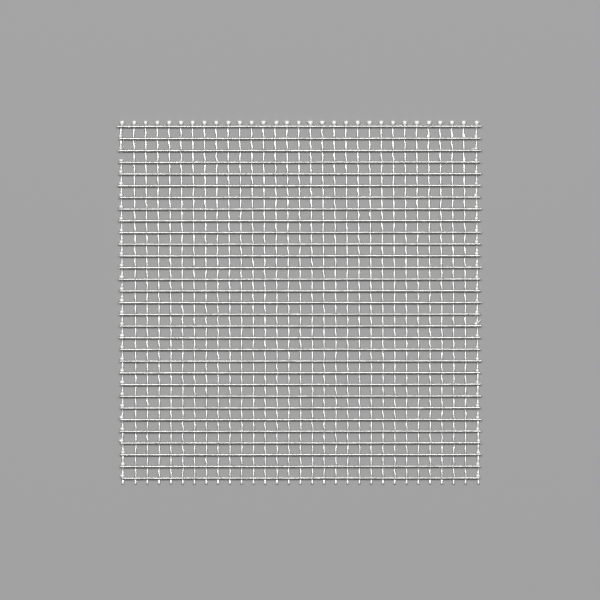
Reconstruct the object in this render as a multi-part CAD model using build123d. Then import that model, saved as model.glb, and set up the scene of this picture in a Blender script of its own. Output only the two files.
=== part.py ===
from build123d import *
import math
import os

# A plain square of wire gauze, lying flat on its back.
# Cross wires run along X and lie on the front of the line wires, which run along Y.
# The underside of the line wires is Z = 0, and the origin is the middle of the
# square's outline.
# All sizes are in millimetres, and angles are in degrees.

# The wire and the mesh

wire_diameter = 0.75

cross_wire_count = 31
cross_pitch = 4.045
top_cell_count = 2
top_cell_height = 4.18

line_wire_count = 31
line_pitch = 4.075
left_cell_width = 4.5
right_cell_width = 4.23

# The top of each line wire stands this far to the left of its foot
line_lean = 0.7

# How far the wires run past the outermost crossings.
# The left ends keep to the leaning side wire, and the right ends are in line.

left_overhang = 0.95
right_overhang = 1.2
line_top_reach = 0.55
line_bottom_reach = 2.2

# The top cross wire is left longer at each end, and the bottom one is cut shorter

top_left_extra = 0.5
top_right_extra = 0.2
bottom_wire_cut = 0.45

# All other ends differ by up to this much, by an angle that moves on row by row

end_unevenness = 0.2
trim_step = 137.5

# The bead on the top end of each line wire

end_bead_width = 1.5
end_bead_depth = 1.3
end_bead_sides = 8
end_bead_shift = 0.15

# The weld nub above each crossing on the two side wires

nub_width = 1.25
nub_height = 1.05
nub_taper = 20
nub_shift = -0.25

# The left side wire is broken in the cell under this cross wire

break_under_wire = 3
break_upper_reach = 0.7
break_lower_reach = 1.4

# Worked out from the sizes above

wire_radius = wire_diameter / 2
line_wire_z = wire_radius
cross_wire_z = wire_diameter + wire_radius

plain_cell_rows = cross_wire_count - 1 - top_cell_count
mesh_height = plain_cell_rows * cross_pitch + top_cell_count * top_cell_height
mesh_width = left_cell_width + (line_wire_count - 3) * line_pitch + right_cell_width
end_bead_reach = line_top_reach + end_bead_width

outline_height = line_bottom_reach + mesh_height + end_bead_reach
left_reach = left_overhang + top_left_extra
right_reach = right_overhang + top_right_extra
outline_width = line_lean / 2 + mesh_width + left_reach + right_reach
top_wire_y = outline_height / 2 - end_bead_reach
middle_y = top_wire_y - mesh_height / 2
left_wire_x = -outline_width / 2 + left_reach + line_lean / 2
right_wire_x = left_wire_x + mesh_width
lean_angle = math.degrees(math.atan2(line_lean, mesh_height))

line_top_y = top_wire_y + line_top_reach
line_bottom_y = top_wire_y - mesh_height - line_bottom_reach


def cross_wire_y(number):
    """Height of a cross wire on the square, where number 1 is the top one."""
    tall_cells = min(number - 1, top_cell_count)
    plain_cells = number - 1 - tall_cells
    return top_wire_y - tall_cells * top_cell_height - plain_cells * cross_pitch


def line_wire_x(number):
    """Place of a line wire half way up the mesh, where number 1 is the left one."""
    if number == 1:
        return left_wire_x
    if number == line_wire_count:
        return right_wire_x
    return left_wire_x + left_cell_width + (number - 2) * line_pitch


def end_length(number, overhang, top_reach, first_angle):
    """How far a cross wire's end runs past the side wire."""
    if number == 1:
        return top_reach
    if number == cross_wire_count:
        return overhang - bottom_wire_cut
    angle = math.radians(first_angle + number * trim_step)
    return overhang + end_unevenness * math.sin(angle)


def make_cross_wire(number):
    """A straight wire along X, cut where its ends are."""
    wire_y = cross_wire_y(number)
    left_side_x = left_wire_x - line_lean * (wire_y - middle_y) / mesh_height
    left_end = left_side_x - end_length(number, left_overhang, left_reach, 0)
    right_end = right_wire_x + end_length(number, right_overhang, right_reach, 90)
    wire = Cylinder(wire_radius, right_end - left_end, rotation=(0, 90, 0))
    return Pos((left_end + right_end) / 2, wire_y, cross_wire_z) * wire


def make_line_length(bottom_y, top_y):
    """A straight length of line wire along Y, at X = 0."""
    wire = Cylinder(wire_radius, top_y - bottom_y, rotation=(90, 0, 0))
    return Pos(0, (bottom_y + top_y) / 2, line_wire_z) * wire


def make_end_bead():
    """The bead on the top end of a line wire at X = 0, with a flat side on that end."""
    outline = RegularPolygon(
        end_bead_width / 2,
        end_bead_sides,
        major_radius=False,
        rotation=180 / end_bead_sides,
    )
    bead = extrude(outline, end_bead_depth)
    return Pos(end_bead_shift, line_top_y + end_bead_width / 2, 0) * bead


def make_nub(cross_wire):
    """The weld nub on the front of a side wire, above a cross wire and against it."""
    nub = extrude(Rectangle(nub_width, nub_height), wire_diameter, taper=nub_taper)
    seat_y = cross_wire_y(cross_wire) + wire_radius
    return Pos(nub_shift, seat_y + nub_height / 2, wire_diameter) * nub


def lean(solids, number):
    """Stands solids made at X = 0 at their line wire's place and lean."""
    place = Pos(line_wire_x(number), middle_y, 0) * Rot(0, 0, lean_angle)
    return [place * Pos(0, -middle_y, 0) * solid for solid in solids]


def make_line_wire(number):
    """A whole line wire with the bead on its top end."""
    return lean([make_line_length(line_bottom_y, line_top_y), make_end_bead()], number)


def make_nubs(number):
    """The nubs up one side wire, at every crossing but the top one."""
    nubs = [make_nub(cross_wire) for cross_wire in range(2, cross_wire_count + 1)]
    return lean(nubs, number)


def make_left_wire():
    """The left side wire in the two lengths that its break leaves, with its bead."""
    upper_end_y = cross_wire_y(break_under_wire) - break_upper_reach
    lower_end_y = cross_wire_y(break_under_wire + 1) + break_lower_reach
    lengths = [
        make_line_length(upper_end_y, line_top_y),
        make_line_length(line_bottom_y, lower_end_y),
        make_end_bead(),
    ]
    return lean(lengths, 1)


def make_nodes():
    """Every node's name with its solids."""
    left_wire = make_left_wire() + make_nubs(1)
    right_wire = make_line_wire(line_wire_count) + make_nubs(line_wire_count)
    nodes = {
        "top_and_bottom_cross_wires": [make_cross_wire(1), make_cross_wire(cross_wire_count)],
        "side_line_wires": left_wire + right_wire,
    }
    for number in range(2, cross_wire_count):
        nodes[f"cross_wire_{number:02d}"] = [make_cross_wire(number)]
    for number in range(2, line_wire_count):
        nodes[f"line_wire_{number:02d}"] = make_line_wire(number)
    return nodes


def write_nodes(nodes):
    """Writes one STEP file for each node."""
    os.makedirs("parts", exist_ok=True)
    for name, solids in nodes.items():
        shape = solids[0] if len(solids) == 1 else Compound(children=solids)
        shape.label = name
        export_step(shape, f"parts/{name}.step")


write_nodes(make_nodes())
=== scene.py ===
import math
import random

import bmesh
import bpy
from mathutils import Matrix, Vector, noise


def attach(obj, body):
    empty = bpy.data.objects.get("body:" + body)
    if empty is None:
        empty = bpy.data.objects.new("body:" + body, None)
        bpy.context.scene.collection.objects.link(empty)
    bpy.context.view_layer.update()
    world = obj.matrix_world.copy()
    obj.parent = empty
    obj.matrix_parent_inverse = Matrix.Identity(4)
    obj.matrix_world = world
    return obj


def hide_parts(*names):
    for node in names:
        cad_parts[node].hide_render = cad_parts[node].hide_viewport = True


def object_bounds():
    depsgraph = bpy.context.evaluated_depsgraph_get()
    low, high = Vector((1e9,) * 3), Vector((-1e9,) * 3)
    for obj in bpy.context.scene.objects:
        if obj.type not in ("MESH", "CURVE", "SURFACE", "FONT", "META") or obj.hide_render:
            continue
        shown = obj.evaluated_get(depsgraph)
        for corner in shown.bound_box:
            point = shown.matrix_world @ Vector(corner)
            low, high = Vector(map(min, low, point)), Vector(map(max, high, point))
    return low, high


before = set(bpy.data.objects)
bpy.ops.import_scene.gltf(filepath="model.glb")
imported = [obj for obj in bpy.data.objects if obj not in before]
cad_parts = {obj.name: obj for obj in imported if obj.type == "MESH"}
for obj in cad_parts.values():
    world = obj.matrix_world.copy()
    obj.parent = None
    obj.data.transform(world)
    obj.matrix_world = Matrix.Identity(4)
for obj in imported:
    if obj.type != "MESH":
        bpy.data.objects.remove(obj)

CAD_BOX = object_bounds()

# The gauze's own sizes, in metres. Places come from the frame.

MM = 0.001
WIRE_RADIUS = 0.375 * MM
CROSS_WIRE_COUNT = 31
LINE_WIRE_COUNT = 31
LINE_TOP_REACH = 0.55 * MM
BEAD_ROOM = 1.5 * MM
LINE_LEAN = 0.7 * MM
BROKEN_UNDER = 3
UPPER_REACH = 0.7 * MM

# How the drawn wires differ from straight, even ones. The side wires bow by a share of the
# usual bow, and a cell's bend has at least a share of the full one. The slimmers are
# shares of the wire's radius, and the unevenness is a share that comes and goes over a
# length.

LINE_BOW = 0.25 * MM
SIDE_BOWS = {1: 0.5, LINE_WIRE_COUNT: 0.0}
LINE_BEND = 0.32 * MM
LEAST_BEND = 0.35
LINE_SLIMMER = 0.83
LINE_UNEVENNESS = 0.04
LINE_UNEVEN_OVER = 3 * MM
CROSS_SLIMMER = 0.93
CROSS_UNEVENNESS = 0.02
CROSS_UNEVEN_OVER = 9 * MM
CROSS_BEND = 0.05 * MM
CROSS_BEND_OVER = 22 * MM
CROSS_RISE = 0.12 * MM

# A cross wire's cut end is drawn in to this share of its radius, over the bevel. A ring at
# the even reach keeps the rounding off the rest of the wire.

CUT_SHARE = 0.85
CUT_BEVEL = 0.08 * MM
EVEN_REACH = 0.3 * MM

# Where each kind of unevenness starts its numbers, which go up wire by wire. The steps
# part one number's place in the noise from the next one's.

BEND_SEEDS = 100
NUB_SEEDS = 500
CROSS_PATH_SEEDS = 60
CROSS_WIDTH_SEEDS = 30
LINE_WIDTH_SEEDS = 90
BEAD_SEEDS = 11
SEED_STEPS = (7.31, 1.7)

# Rings have eight points. One level of subdivision rounds them to sixteen and draws them
# in to this share. A ring is only resized where it differs by more than the least change.

RING_POINTS = 8
DRAWN_IN = 0.925
LEAST_CHANGE = 0.001


def node_of(kind, number):
    """The name of the frame's node that holds a wire."""
    last = CROSS_WIRE_COUNT if kind == "cross" else LINE_WIRE_COUNT
    if number in (1, last):
        return "top_and_bottom_cross_wires" if kind == "cross" else "side_line_wires"
    return f"{kind}_wire_{number:02d}"


def corners(node, keep):
    """The lowest and highest corner of the points of a node that are kept."""
    points = [v.co.copy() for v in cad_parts[node].data.vertices if keep(v.co)]
    low = Vector([min(p[axis] for p in points) for axis in range(3)])
    high = Vector([max(p[axis] for p in points) for axis in range(3)])
    return low, high


def cross_span(number):
    """A cross wire's left end, right end and height."""
    shares_node = number in (1, CROSS_WIRE_COUNT)

    def keep(point):
        return not shares_node or (point.y > 0) == (number == 1)

    low, high = corners(node_of("cross", number), keep)
    return low.x, high.x, (low.y + high.y) / 2


CROSS_SPANS = {number: cross_span(number) for number in range(1, CROSS_WIRE_COUNT + 1)}
TOP_Y = CROSS_SPANS[1][2]
BOTTOM_Y = CROSS_SPANS[CROSS_WIRE_COUNT][2]
MESH_HEIGHT = TOP_Y - BOTTOM_Y
FOOT_Y = CAD_BOX[0][1]
WIRE_TOP_Y = TOP_Y + LINE_TOP_REACH


def foot_x(number):
    """Where a line wire's foot stands."""
    shares_node = number in (1, LINE_WIRE_COUNT)

    def keep(point):
        in_foot = point.y < FOOT_Y + WIRE_RADIUS
        return in_foot and (not shares_node or (point.x < 0) == (number == 1))

    low, high = corners(node_of("line", number), keep)
    return (low.x + high.x) / 2


FEET = {number: foot_x(number) for number in range(1, LINE_WIRE_COUNT + 1)}

# Bends that a line wire takes in a cell, as shifts to the right at four heights, from
# just over the lower cross wire to just under the upper one. Most end to the right
# below, over the weld. There the wire is thickest and held up to the cross wire, and it
# lies further back towards the next one. The widths are shares of the wire's, and the
# lifts are shares of the room in front of it.

BEND_HEIGHTS = (0.14, 0.38, 0.62, 0.87)
CELL_WIDTHS = (1.18, 1.0, 0.96, 0.80)
CELL_LIFTS = (0.95, 0.70, 0.35, 0.0)
CELL_BENDS = {
    "bowed left": (0.9, -0.3, -0.6, 0.5),
    "bowed right": (0.1, 0.7, 0.5, -0.6),
    "kinked left": (0.8, 0.5, -0.9, 0.2),
    "kinked right": (0.5, 0.0, 0.9, -0.4),
    "leaning left": (0.9, 0.4, -0.2, -0.6),
    "leaning right": (-0.2, -0.1, 0.3, 0.8),
    "straight": (0.4, 0.1, 0.0, 0.1),
}


def choose_bends(number):
    """The bends of one line wire, cell by cell upwards, the same in every run."""
    draw = random.Random(BEND_SEEDS + number)
    kinds = list(CELL_BENDS)
    bends = []
    for _ in range(CROSS_WIRE_COUNT - 1):
        kind = draw.choice(kinds)
        strength = draw.uniform(LEAST_BEND, 1.0) * LINE_BEND
        bends.append([shift * strength for shift in CELL_BENDS[kind]])
    return bends


def lean_x(number, y):
    """The middle of a line wire at a height, with its lean and its bow alone."""
    height = (y - BOTTOM_Y) / MESH_HEIGHT
    lean = -LINE_LEAN * (y - FOOT_Y) / MESH_HEIGHT
    bow = LINE_BOW * (4 * height * (1 - height) - 1)
    return FEET[number] + lean + bow * SIDE_BOWS.get(number, 1.0)


def wander(seed, along, scale):
    """A smooth uneven number between about -1 and 1 that changes along a wire."""
    first, last = SEED_STEPS
    return noise.noise(Vector((seed * first, along / scale, seed * last)))


def cross_y(number, x):
    """The height of a cross wire at a place along it."""
    rise = CROSS_RISE * x / (CROSS_SPANS[1][1] - CROSS_SPANS[1][0])
    bend = CROSS_BEND * wander(number + CROSS_PATH_SEEDS, x, CROSS_BEND_OVER)
    return CROSS_SPANS[number][2] + rise + bend


def select_only(piece):
    """Leaves one object selected and active."""
    bpy.ops.object.select_all(action="DESELECT")
    piece.select_set(True)
    bpy.context.view_layer.objects.active = piece


def start_wire(name, rotation, ring):
    """A filled ring at a wire's first end, with its place in its mesh, in edit mode."""
    centre, width, depth = ring
    bpy.ops.object.select_all(action="DESELECT")
    bpy.ops.mesh.primitive_circle_add(
        vertices=RING_POINTS, radius=1, fill_type="NGON", location=(0, 0, 0), rotation=rotation
    )
    piece = bpy.context.object
    piece.name = name
    piece.data.name = name
    bpy.ops.object.transform_apply(location=True, rotation=True, scale=True)
    bpy.ops.object.mode_set(mode="EDIT")
    bpy.ops.mesh.select_all(action="SELECT")
    size = (width / DRAWN_IN, width / DRAWN_IN, depth / DRAWN_IN)
    bpy.ops.transform.resize(value=size, center_override=(0, 0, 0))
    bpy.ops.transform.translate(value=centre)
    return piece


def extrude_rings(rings):
    """Draws the selected end of a wire out through rings of a centre, width and depth."""
    for last, ring in zip(rings, rings[1:]):
        step = ring[0] - last[0]
        bpy.ops.mesh.extrude_region_move(TRANSFORM_OT_translate={"value": step})
        wider = ring[1] / last[1]
        deeper = ring[2] / last[2]
        if abs(wider - 1) + abs(deeper - 1) > LEAST_CHANGE:
            bpy.ops.transform.resize(value=(wider, wider, deeper), center_override=ring[0])


def pull_ear(target, reach, narrowing):
    """Pulls the two faces nearest a place on a bead out into an ear."""
    bpy.ops.mesh.select_all(action="DESELECT")
    mesh = bmesh.from_edit_mesh(bpy.context.object.data)
    near = sorted(mesh.faces, key=lambda face: (face.calc_center_median() - target).length)
    for face in near[:2]:
        face.select_set(True)
    bmesh.update_edit_mesh(bpy.context.object.data)
    bpy.ops.mesh.extrude_region_move(TRANSFORM_OT_translate={"value": reach})
    size = (narrowing, narrowing, narrowing)
    bpy.ops.transform.resize(value=size, center_override=target + reach)


def close_wire(piece):
    """Turns every face of the wire being drawn outwards, and rounds it off."""
    bpy.ops.mesh.select_all(action="SELECT")
    bpy.ops.mesh.normals_make_consistent(inside=False)
    bpy.ops.object.mode_set(mode="OBJECT")
    rounding = piece.modifiers.new("rounding", "SUBSURF")
    rounding.levels = 1
    rounding.render_levels = 1
    bpy.ops.object.modifier_apply(modifier=rounding.name)
    bpy.ops.object.shade_smooth()


def cross_rings(number):
    """The rings of a cross wire from its left end to its right."""
    left, right, _ = CROSS_SPANS[number]
    cells = LINE_WIRE_COUNT - 1
    places = [left, left + CUT_BEVEL, left + EVEN_REACH]
    places += [left + (right - left) * (step + 0.5) / cells for step in range(cells)]
    places += [right - EVEN_REACH, right - CUT_BEVEL, right]
    rings = []
    for place in places:
        uneven = wander(number + CROSS_WIDTH_SEEDS, place, CROSS_UNEVEN_OVER)
        radius = WIRE_RADIUS * (CROSS_SLIMMER + CROSS_UNEVENNESS * uneven)
        if place in (left, right):
            radius *= CUT_SHARE
        centre = Vector((place, cross_y(number, place), 2 * WIRE_RADIUS + radius))
        rings.append((centre, radius, radius))
    return rings


def draw_cross_wire(number):
    """One cross wire, drawn ring by ring."""
    rings = cross_rings(number)
    piece = start_wire(f"drawn_cross_wire_{number:02d}", (0, math.pi / 2, 0), rings[0])
    extrude_rings(rings)
    close_wire(piece)
    return piece


def line_ring(number, y, width, depth, aside=0.0, lift=0.0):
    """A ring of a line wire, lying on the surface under it or lifted off it."""
    return Vector((lean_x(number, y) + aside, y, depth + lift)), width, depth


# A line wire's stub under the bottom cross wire, as shares of the way up to that wire and
# of the wire's radius. It is thickest near its foot and draws in towards the cross wire.

STUB_OUTLINE = ((0.0, 0.84), (0.04, 0.98), (0.15, 1.0), (0.5, 0.90), (0.78, 0.66))


def foot_rings(number):
    """The rings of a line wire's stub, upwards."""
    rings = []
    for height, share in STUB_OUTLINE:
        y = FOOT_Y + (BOTTOM_Y - FOOT_Y) * height
        rings.append(line_ring(number, y, WIRE_RADIUS * share, WIRE_RADIUS * share))
    return rings


# Small drops on inner line wires over a weld, by line wire and cross wire, and how many
# times as wide as the wire they are

SMALL_DROPS = {(27, 2): 2.5, (29, 2): 1.8, (30, 2): 2.5, (30, 4): 2.4}


def mesh_rings(number):
    """The rings of an inner line wire through every cell, upwards, with its bends."""
    rings = []
    bends = choose_bends(number)
    last_shift = 0.0
    for cell in range(CROSS_WIRE_COUNT - 1):
        cross_wire = CROSS_WIRE_COUNT - cell
        low = CROSS_SPANS[cross_wire][2]
        high = CROSS_SPANS[cross_wire - 1][2]
        weld_shift = (last_shift + bends[cell][0]) / 2
        rings.append(line_ring(number, low, WIRE_RADIUS * LINE_SLIMMER, WIRE_RADIUS, weld_shift))
        for height, shift, share, lift in zip(BEND_HEIGHTS, bends[cell], CELL_WIDTHS, CELL_LIFTS):
            y = low + (high - low) * height
            uneven = wander(number + LINE_WIDTH_SEEDS, y, LINE_UNEVEN_OVER)
            radius = WIRE_RADIUS * share * (LINE_SLIMMER + LINE_UNEVENNESS * uneven)
            width = radius
            if height == BEND_HEIGHTS[0]:
                width *= SMALL_DROPS.get((number, cross_wire), 1.0)
            lift *= 2 * (WIRE_RADIUS - radius)
            rings.append(line_ring(number, y, width, radius, shift, lift))
        last_shift = bends[cell][-1]
    return rings


# The beads on the line wires' top ends. Each is narrow over the wire and widest just above
# its middle. Each ring is a share of the bead's height, of its half width and of its half
# depth. The half depth is the flatness times the half width, or else the least one.

BEAD_OUTLINE = (
    (0.04, 0.70, 0.88),
    (0.20, 0.94, 1.00),
    (0.48, 1.08, 1.06),
    (0.76, 1.08, 1.04),
    (0.95, 0.82, 0.86),
    (1.0, 0.40, 0.56),
)
BEAD_HALF_WIDTH = 0.73 * MM
BEAD_HEIGHT = 1.44 * MM
BEAD_FLATNESS = 0.82
LEAST_HALF_DEPTH = 0.5 * MM

# The beads grow from the left side on, from the first share of their width by the growth,
# until this many wires along. Their height grows by less, and their widths are uneven.

FIRST_BEAD_SHARE = 0.90
BEAD_GROWTH = 0.10
GROWING_BEADS = 12
STEADY_HEIGHT_SHARE = 0.95
HEIGHT_GROWTH = 0.05
BEAD_UNEVENNESS = 0.05

# Beads that differ: share of the usual width, lean to the right in millimetres, and full
# height. Every bead stands aside to the right, in millimetres, and more so further up it.

BEAD_WIDTHS = {3: 0.78, 15: 1.12, 16: 0.84, 22: 1.1, 26: 1.14, 27: 1.06}
LEANING_BEADS = {1: 0.38, 2: 0.16, 10: 0.10, 14: 0.45, 20: 0.12, 26: 0.10, 27: 0.20}
TALL_BEADS = (21,)
BEAD_ASIDE = 0.12
ASIDE_AT_CROSS_WIRE = 0.4
ASIDE_AT_BEAD_FOOT = 0.8
ASIDE_GROWTH = 0.3

# Ears and tips pulled out of beads: side, share of the bead's height, reach in millimetres.
# Each rises by a share of its reach and narrows to a share of its size.

BEAD_EARS = {
    1: ((-1, 0.80, 0.14), (1, 0.80, 0.14)),
    4: ((1, 0.80, 0.10),),
    5: ((1, 0.70, 0.30),),
    6: ((1, 0.60, 0.28),),
    10: ((1, 0.58, 0.28),),
    11: ((-1, 0.85, 0.24),),
    13: ((1, 0.82, 0.32),),
    14: ((1, 0.60, 0.24),),
    17: ((-1, 0.72, 0.48), (1, 0.82, 0.20)),
    18: ((-1, 0.70, 0.18), (1, 0.70, 0.34)),
    27: ((1, 0.78, 0.45),),
    28: ((1, 0.58, 0.20),),
    31: ((1, 0.58, 0.24),),
}
EAR_RISE = 0.12
EAR_NARROWING = 0.55


def bead_size(number):
    """A bead's half width and height."""
    growth = min(1.0, FIRST_BEAD_SHARE + BEAD_GROWTH * (number - 1) / GROWING_BEADS)
    width = BEAD_HALF_WIDTH * growth
    width *= 1 + BEAD_UNEVENNESS * wander(number + BEAD_SEEDS, 0, 1)
    width *= BEAD_WIDTHS.get(number, 1.0)
    if number in TALL_BEADS:
        return width, BEAD_ROOM
    return width, BEAD_HEIGHT * (STEADY_HEIGHT_SHARE + HEIGHT_GROWTH * growth)


def bead_rings(number):
    """The rings of the bead on the top of a line wire."""
    half_width, tall = bead_size(number)
    half_depth = max(half_width * BEAD_FLATNESS, LEAST_HALF_DEPTH)
    aside = (BEAD_ASIDE + LEANING_BEADS.get(number, 0.0)) * MM
    rings = [line_ring(number, TOP_Y, WIRE_RADIUS, WIRE_RADIUS, aside * ASIDE_AT_CROSS_WIRE)]
    for height, width, depth in BEAD_OUTLINE:
        y = WIRE_TOP_Y + tall * height
        shift = aside * (ASIDE_AT_BEAD_FOOT + ASIDE_GROWTH * height)
        rings.append(line_ring(number, y, half_width * width, half_depth * depth, shift))
    return rings


def pull_bead_ears(number):
    """The ears and tips of one bead."""
    half_width, tall = bead_size(number)
    for side, height, reach in BEAD_EARS.get(number, ()):
        y = WIRE_TOP_Y + tall * height
        target = Vector((lean_x(number, y) + side * half_width, y, half_width * BEAD_FLATNESS))
        ear = Vector((side * reach * MM, EAR_RISE * reach * MM, 0))
        pull_ear(target, ear, EAR_NARROWING)


def draw_line(name, number, rings, with_bead):
    """One length of line wire, drawn ring by ring upwards."""
    piece = start_wire(name, (math.pi / 2, 0, 0), rings[0])
    extrude_rings(rings)
    if with_bead:
        pull_bead_ears(number)
    close_wire(piece)
    return piece


# Thin strands beside line wires: the cross wire that each point is measured from, its
# height over that wire and its distance to the right of the line wire, in millimetres. A
# strand narrows by up to a share of its width.

LEFT_STRAND = (
    (3, 0.3, 0.35),
    (3, 1.0, 0.88),
    (3, 2.8, 0.96),
    (2, 0.0, 0.92),
    (2, 2.2, 0.90),
    (1, -0.2, 0.5),
)
WISPS = {
    2: ((3, 0.9, 0.2), (3, 1.6, 0.58), (3, 3.0, 0.64), (3, 3.7, 0.60)),
    27: ((1, 0.95, -0.2), (1, 0.80, -0.8), (1, 0.66, -1.3), (1, 0.60, -1.7)),
}
STRAND_RADIUS = 0.10 * MM
STRAND_Z = 0.3 * MM
STRAND_NARROWING = 0.5


def draw_strand(name, points, radius):
    """A thin strand through a few points, narrowing to its end."""
    heading = (points[1] - points[0]).to_track_quat("Z", "Y").to_euler()
    piece = start_wire(name, heading, (points[0], radius, radius))
    rings = []
    for step, point in enumerate(points):
        width = radius * (1 - STRAND_NARROWING * step / len(points))
        rings.append((point, width, radius))
    extrude_rings(rings)
    close_wire(piece)
    return piece


def draw_strand_beside(number, name, route):
    """A thin strand that lies beside a line wire."""
    points = []
    for wire, height, aside in route:
        y = CROSS_SPANS[wire][2] + height * MM
        points.append(Vector((lean_x(number, y) + aside * MM, y, STRAND_Z)))
    return draw_strand(name, points, STRAND_RADIUS)


def join_to(piece, strands):
    """Makes strands part of the piece that they grow out of."""
    select_only(piece)
    for strand in strands:
        strand.select_set(True)
    bpy.ops.object.join()


def draw_line_wire(number):
    """One inner line wire with the bead on its top."""
    rings = foot_rings(number) + mesh_rings(number) + bead_rings(number)
    piece = draw_line(f"drawn_line_wire_{number:02d}", number, rings, True)
    if number in WISPS:
        join_to(piece, [draw_strand_beside(number, "wisp", WISPS[number])])
    return piece


# A side wire in each cell, upwards from a cross wire: height over that wire, half width
# and half depth in millimetres, and share of the nub's shift. The first five rings are
# the nub. The ring numbered six is where some cells swell again, and its depth is at least
# this many times its width.

NUB_OUTLINE = (
    (0.00, 0.30, 0.36, 0.3),
    (0.34, 0.60, 0.50, 0.8),
    (0.58, 0.84, 0.62, 1.0),
    (1.00, 0.80, 0.60, 1.0),
    (1.34, 0.50, 0.46, 0.7),
    (1.64, 0.29, 0.33, 0.3),
    (2.55, 0.28, 0.30, 0.0),
    (3.45, 0.29, 0.27, 0.0),
)
NUB_RINGS = 5
SWELLING_RING = 6
SWELLING_DEPTH = 1.1

# The nubs' sizes, as shares of the outline's, and their shift to the right in millimetres,
# which is to the left where it is below nothing

NUB_SIZES = (0.82, 1.08)
LEAST_NUB_SIZE = 0.5
RIGHT_NUBS = 0.82
UPPER_LENGTH_NUBS = 0.58
NUB_SHIFT = -0.18

# The upper length's half width is more than the outline's by this, in millimetres

UPPER_LENGTH_EXTRA = 0.08

# Nubs with a shift of their own, by the cross wire under them

NUB_SHIFTS = {
    "left": {26: -0.50, 27: -0.20, 28: -0.55, 29: 0.05, 30: 0.0},
    "right": {18: -0.60, 7: -0.40, 28: 0.1, 29: 0.0},
}

# Cells in which a side wire swells again, or nearly parts, by the cross wire over them,
# with the half width there in millimetres

SWELLINGS = {
    "left": {14: 0.14, 21: 0.52, 27: 0.42, 29: 0.42},
    "right": {17: 0.20, 22: 0.50, 23: 0.46, 26: 0.44, 27: 0.44, 28: 0.40, 29: 0.52},
}


def side_rings(number, low_wire, high_wire, nub_share=1.0, extra_width=0.0):
    """The rings of a side wire from the nub over one cross wire to just under another."""
    side = "left" if number == 1 else "right"
    draw = random.Random(NUB_SEEDS + number)
    wires = range(CROSS_WIRE_COUNT, 0, -1)
    sizes = {wire: nub_share * draw.uniform(*NUB_SIZES) for wire in wires}
    rings = []
    for cross_wire in range(low_wire, high_wire, -1):
        base = CROSS_SPANS[cross_wire][2]
        shift = NUB_SHIFTS[side].get(cross_wire, NUB_SHIFT)
        for place, (height, width, depth, share) in enumerate(NUB_OUTLINE):
            half_width = width * sizes[cross_wire] if place < NUB_RINGS else width
            half_width = max(half_width, width * LEAST_NUB_SIZE) + extra_width
            if place == SWELLING_RING:
                half_width = SWELLINGS[side].get(cross_wire - 1, half_width)
                depth = max(depth, half_width * SWELLING_DEPTH)
            y = base + height * MM
            rings.append(line_ring(number, y, half_width * MM, depth * MM, shift * share * MM))
    return rings


# Spurs out of the right side wire: name, the cross wire under it, radius, and how far each
# point is to the right of the side wire, up from the cross wire and in front of the side
# wire's middle, in millimetres

SPURS = (
    ("beak", 3, 0.17, ((0.1, 1.0, 0.3), (-0.7, 0.75, 0.4), (-1.4, 0.5, 0.5), (-2.0, 0.4, 0.5))),
    ("spur", 18, 0.22, ((-0.1, 0.9, 0.3), (0.35, 1.3, 0.3), (0.8, 1.8, 0.3), (1.15, 2.2, 0.3))),
)


def draw_spur(name, cross_wire, radius, route):
    """One spur out of the right side wire."""
    base = CROSS_SPANS[cross_wire][2]
    start = Vector((lean_x(LINE_WIRE_COUNT, base), base, WIRE_RADIUS))
    points = [start + Vector(point) * MM for point in route]
    return draw_strand(name, points, radius * MM)


def draw_right_wire():
    """The right side wire, whole, with the spurs that stand out of it."""
    number = LINE_WIRE_COUNT
    rings = foot_rings(number) + side_rings(number, CROSS_WIRE_COUNT, 1, RIGHT_NUBS)
    piece = draw_line("drawn_right_wire", number, rings + bead_rings(number), True)
    join_to(piece, [draw_spur(*spur) for spur in SPURS])
    return piece


# The left side wire's broken ends, in millimetres. On the lower length, a flat bead and a
# tip: height over the cross wire under it, half width, half depth and shift to the right.
# On the upper length: height over its end, and radius.

LOWER_BROKEN_END = (
    (0.0, 0.26, 0.34, 0.0),
    (0.32, 0.52, 0.46, 0.0),
    (0.52, 0.86, 0.60, 0.0),
    (0.90, 0.92, 0.58, 0.0),
    (1.08, 0.48, 0.44, 0.0),
    (1.20, 0.20, 0.28, 0.0),
    (1.40, 0.12, 0.20, 0.05),
)
UPPER_BROKEN_END = ((0.0, 0.20), (0.16, 0.33))


def draw_left_lower_wire():
    """The left side wire from its foot to its break."""
    low_end = BROKEN_UNDER + 1
    rings = foot_rings(1) + side_rings(1, CROSS_WIRE_COUNT, low_end)
    for height, width, depth, aside in LOWER_BROKEN_END:
        y = CROSS_SPANS[low_end][2] + height * MM
        rings.append(line_ring(1, y, width * MM, depth * MM, aside * MM))
    return draw_line("drawn_left_lower_wire", 1, rings, False)


def draw_left_upper_wire():
    """The left side wire from its break to its bead, with the thin strand beside it."""
    rings = []
    for height, radius in UPPER_BROKEN_END:
        y = CROSS_SPANS[BROKEN_UNDER][2] - UPPER_REACH + height * MM
        rings.append(line_ring(1, y, radius * MM, radius * MM))
    rings += side_rings(1, BROKEN_UNDER, 1, UPPER_LENGTH_NUBS, UPPER_LENGTH_EXTRA)
    piece = draw_line("drawn_left_upper_wire", 1, rings + bead_rings(1), True)
    join_to(piece, [draw_strand_beside(1, "strand", LEFT_STRAND)])
    return piece


# Shader sums and nodes


class Value:
    """A number in a finish that can be used in sums."""

    def __init__(self, finish, socket):
        self.finish = finish
        self.socket = socket

    def __add__(self, other):
        return self.finish.sum_of("ADD", self, other)

    def __sub__(self, other):
        return self.finish.sum_of("SUBTRACT", self, other)

    def __rsub__(self, other):
        return self.finish.sum_of("SUBTRACT", other, self)

    def __mul__(self, other):
        return self.finish.sum_of("MULTIPLY", self, other)

    __radd__ = __add__
    __rmul__ = __mul__


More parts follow.
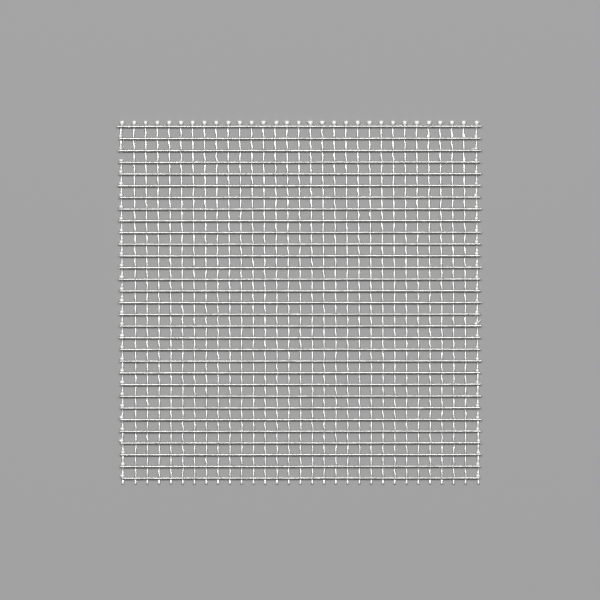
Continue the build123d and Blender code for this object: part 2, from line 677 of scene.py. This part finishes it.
class Finish:
    """A material and its nodes."""

    def __init__(self, name):
        self.material = bpy.data.materials.new(name)
        self.material.use_nodes = True
        self.material.node_tree.nodes.clear()

    def add(self, kind, settings=None, sockets=None):
        """Makes any node from its type, its settings and its sockets' values or links."""
        node = self.material.node_tree.nodes.new("ShaderNode" + kind)
        for key, setting in (settings or {}).items():
            setattr(node, key, setting)
        for key, given in (sockets or {}).items():
            socket = given.socket if isinstance(given, Value) else given
            if isinstance(socket, bpy.types.NodeSocket):
                self.material.node_tree.links.new(socket, node.inputs[key])
            else:
                node.inputs[key].default_value = socket
        return node

    def sum_of(self, operation, first, second):
        """A number worked out from two."""
        node = self.add("Math", {"operation": operation}, {0: first, 1: second})
        return Value(self, node.outputs[0])

    def noise(self, place, scale, detail):
        """Uneven numbers between about 0 and 1."""
        node = self.add("TexNoise", {}, {"Vector": place, "Scale": scale, "Detail": detail})
        return Value(self, node.outputs["Fac"])

    def mask(self, value, low, high):
        """0 below one value and 1 above another, smooth between."""
        node = self.add(
            "MapRange",
            {"interpolation_type": "SMOOTHSTEP"},
            {"Value": value, "From Min": low, "From Max": high},
        )
        return Value(self, node.outputs["Result"])

    def mix(self, share, first, second):
        """A colour between two."""
        node = self.add("Mix", {"data_type": "RGBA"}, {"Factor": share, 6: first, 7: second})
        return node.outputs[2]


# Zinc on wire: grey patches and dull specks on light zinc, and on drops of zinc a paler, less
# metallic satin that is partly a painted highlight

ZINC_LIGHT = (0.90, 0.895, 0.875, 1)
ZINC_GREY = (0.74, 0.735, 0.72, 1)
ZINC_DULL = (0.50, 0.49, 0.47, 1)
ZINC_SATIN_AND_HIGHLIGHT = (0.93, 0.93, 0.92, 1)

# How fine the patterns are, in waves to the metre, and how many finer layers each has. The
# streaks are long along the wire.

ALONG_CROSS_WIRES = (250, 5200, 5200)
ALONG_LINE_WIRES = (5200, 250, 5200)
STREAK_LAYERS = 3.0
PATCH_SCALE = 420.0
PATCH_LAYERS = 2.0
SPECK_SCALE = 2600.0
SPECK_LAYERS = 4.0

# Where the noise becomes a patch or a speck, and over what length the satin with its painted
# highlight comes in

PATCH_EDGES = (0.40, 0.66)
SPECK_EDGES = (0.62, 0.74)
BEAD_EDGE = 0.2 * MM
NUB_EDGE = 0.12 * MM

# Shares of the colour that specks and the satin with its painted highlight cover, and of the
# metal that the satin hides

SPECK_COVER = 0.25
SATIN_HIGHLIGHT_COVER = 0.8
SATIN_HIDES = 0.72

# Roughness of each pattern on top of the wire's own

SATIN_ROUGHNESS = 0.20
PATCH_ROUGHNESS = 0.08
STREAK_ROUGHNESS = 0.04
SPECK_ROUGHNESS = 0.05

# The relief: how high streaks and patches stand and how deep specks lie, and its size

STREAK_HEIGHT = 0.4
PATCH_HEIGHT = 0.3
SPECK_DEPTH = 0.2
BUMP_STRENGTH = 0.08
BUMP_DISTANCE = 0.005 * MM

# The cross wires are painted darker than the line wires, a painted shade that stands in for the
# lamp catching them more, and they are a little glossier. The side wires have the paler satin,
# partly a painted highlight, where they stand further forward than their plain stretches.

CROSS_PAINTED_SHADE = 0.80
CROSS_ROUGHNESS = 0.24
LINE_PAINTED_SHADE = 1.0
LINE_ROUGHNESS = 0.27
NUB_FRONT_Z = 0.67 * MM


def painted_darker(colour, painted_shade):
    """A colour made darker by a share, as a painted shade."""
    return tuple(channel * painted_shade for channel in colour[:3]) + (1,)


def zinc_finish(name, stretch, painted_shade, own_roughness, bead_from, nub_from):
    """Bright zinc on drawn wire: soft patches, streaks along the wire and dull specks, darkened
    by a painted shade.

    It is the paler satin of a zinc drop, partly a painted highlight, beyond bead_from up
    the gauze, and on what stands further forward than nub_from.
    """
    finish = Finish(name)
    place = finish.add("TexCoord").outputs["Object"]
    along = finish.add("Mapping", {}, {"Vector": place, "Scale": stretch}).outputs["Vector"]
    streaks = finish.noise(along, 1.0, STREAK_LAYERS)
    patches = finish.noise(place, PATCH_SCALE, PATCH_LAYERS)
    specks = finish.mask(finish.noise(place, SPECK_SCALE, SPECK_LAYERS), *SPECK_EDGES)
    parted = finish.add("SeparateXYZ", {}, {"Vector": place})
    bead = finish.mask(Value(finish, parted.outputs["Y"]), bead_from, bead_from + BEAD_EDGE)
    nub = finish.mask(Value(finish, parted.outputs["Z"]), nub_from, nub_from + NUB_EDGE)
    satin_and_highlight = bead + nub - bead * nub
    grey = finish.mask(patches, *PATCH_EDGES)
    # The colours are darkened by the painted shade, which stands in for the lamp catching the
    # cross wires more.
    colour = finish.mix(grey, painted_darker(ZINC_LIGHT, painted_shade), painted_darker(ZINC_GREY, painted_shade))
    colour = finish.mix(specks * SPECK_COVER, colour, painted_darker(ZINC_DULL, painted_shade))
    # Beads and nubs get the paler satin colour, partly a painted highlight for how brightly they
    # catch the lamp.
    colour = finish.mix(satin_and_highlight * SATIN_HIGHLIGHT_COVER, colour, ZINC_SATIN_AND_HIGHLIGHT)
    roughness = satin_and_highlight * SATIN_ROUGHNESS + own_roughness + patches * PATCH_ROUGHNESS
    roughness = roughness + streaks * STREAK_ROUGHNESS + specks * SPECK_ROUGHNESS
    height = streaks * STREAK_HEIGHT + patches * PATCH_HEIGHT - specks * SPECK_DEPTH
    bump = finish.add(
        "Bump", {}, {"Strength": BUMP_STRENGTH, "Distance": BUMP_DISTANCE, "Height": height}
    )
    surface = finish.add(
        "BsdfPrincipled",
        {},
        {
            "Base Color": colour,
            "Metallic": 1.0 - satin_and_highlight * SATIN_HIDES,
            "Roughness": roughness,
            "Normal": bump.outputs["Normal"],
        },
    )
    finish.add("OutputMaterial", {}, {"Surface": surface.outputs["BSDF"]})
    return finish.material


FLOOR_COLOUR = (0.35, 0.35, 0.35, 1)
FLOOR_ROUGHNESS = 0.85
FLOOR_GLOSS = 0.2


def floor_finish():
    """The plain pale floor."""
    finish = Finish("pale_floor")
    surface = finish.add(
        "BsdfPrincipled",
        {},
        {
            "Base Color": FLOOR_COLOUR,
            "Roughness": FLOOR_ROUGHNESS,
            "Specular IOR Level": FLOOR_GLOSS,
        },
    )
    finish.add("OutputMaterial", {}, {"Surface": surface.outputs["BSDF"]})
    return finish.material


def dress(piece, material, *nodes):
    """Gives a piece its finish and its body, and hides the nodes that it stands for."""
    piece.data.materials.append(material)
    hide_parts(*nodes)
    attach(piece, "root")


def make_gauze():
    """Every wire of the gauze.

    The cross wires have no satin or its painted highlight, and the inner line wires have it on
    their beads alone, so it starts beyond the gauze where it isn't wanted.
    """
    _, beyond_y, beyond_z = CAD_BOX[1]
    cross_look = (ALONG_CROSS_WIRES, CROSS_PAINTED_SHADE, CROSS_ROUGHNESS, beyond_y)
    line_look = (ALONG_LINE_WIRES, LINE_PAINTED_SHADE, LINE_ROUGHNESS, WIRE_TOP_Y)
    cross_zinc = zinc_finish("zinc_along_cross_wires", *cross_look, beyond_z)
    line_zinc = zinc_finish("zinc_along_line_wires", *line_look, beyond_z)
    side_zinc = zinc_finish("zinc_on_side_wires", *line_look, NUB_FRONT_Z)
    for number in range(1, CROSS_WIRE_COUNT + 1):
        dress(draw_cross_wire(number), cross_zinc, node_of("cross", number))
    for number in range(2, LINE_WIRE_COUNT):
        dress(draw_line_wire(number), line_zinc, node_of("line", number))
    for piece in (draw_left_upper_wire(), draw_left_lower_wire(), draw_right_wire()):
        dress(piece, side_zinc, "side_line_wires")


# The camera looks straight down from far off, with the photograph's frame about the gauze

FRAME_WIDTH = 207.5 * MM
FRAME_CENTRE = Vector((0.265 * MM, 0.85 * MM, 0))
LENS = 400.0
SENSOR = 36.0
NEAREST_SEEN = 0.01

# One wide, far lamp stands beyond the gauze's top edge, over a pale floor in a pale world

LAMP_PLACE = (0.0, 1.20, 3.30)
LAMP_WIDTH = 4.8
LAMP_LENGTH = 0.84
LAMP_POWER = 136.0
FLOOR_SIZE = 6
WORLD_COLOUR = (1.0, 1.0, 1.0, 1)
WORLD_STRENGTH = 0.22


def place_camera():
    """The camera over the gauze, with the gauze's top towards the picture's top."""
    camera = bpy.data.cameras.new("camera")
    camera.lens = LENS
    camera.sensor_width = SENSOR
    camera.clip_start = NEAREST_SEEN
    holder = bpy.data.objects.new("camera", camera)
    height = FRAME_WIDTH * LENS / SENSOR
    holder.location = FRAME_CENTRE + Vector((0, 0, height + 2 * WIRE_RADIUS))
    bpy.context.scene.collection.objects.link(holder)
    bpy.context.scene.camera = holder


def place_lamp():
    """The soft lamp, which points at the gauze."""
    lamp = bpy.data.lights.new("wide_lamp", "AREA")
    lamp.shape = "RECTANGLE"
    lamp.size = LAMP_WIDTH
    lamp.size_y = LAMP_LENGTH
    lamp.energy = LAMP_POWER
    holder = bpy.data.objects.new("wide_lamp", lamp)
    holder.location = LAMP_PLACE
    holder.rotation_euler = (-Vector(LAMP_PLACE)).to_track_quat("-Z", "Y").to_euler()
    bpy.context.scene.collection.objects.link(holder)


def set_stage():
    """The floor, the lamp and the pale world."""
    bpy.ops.object.select_all(action="DESELECT")
    bpy.ops.mesh.primitive_plane_add(size=FLOOR_SIZE, location=(0, 0, 0))
    floor = bpy.context.object
    floor.name = "floor"
    floor.data.materials.append(floor_finish())
    place_lamp()
    world = bpy.data.worlds.new("pale_world")
    world.use_nodes = True
    back = world.node_tree.nodes["Background"]
    back.inputs["Color"].default_value = WORLD_COLOUR
    back.inputs["Strength"].default_value = WORLD_STRENGTH
    bpy.context.scene.world = world
    bpy.context.scene.view_settings.view_transform = "Standard"


place_camera()
make_gauze()
set_stage()
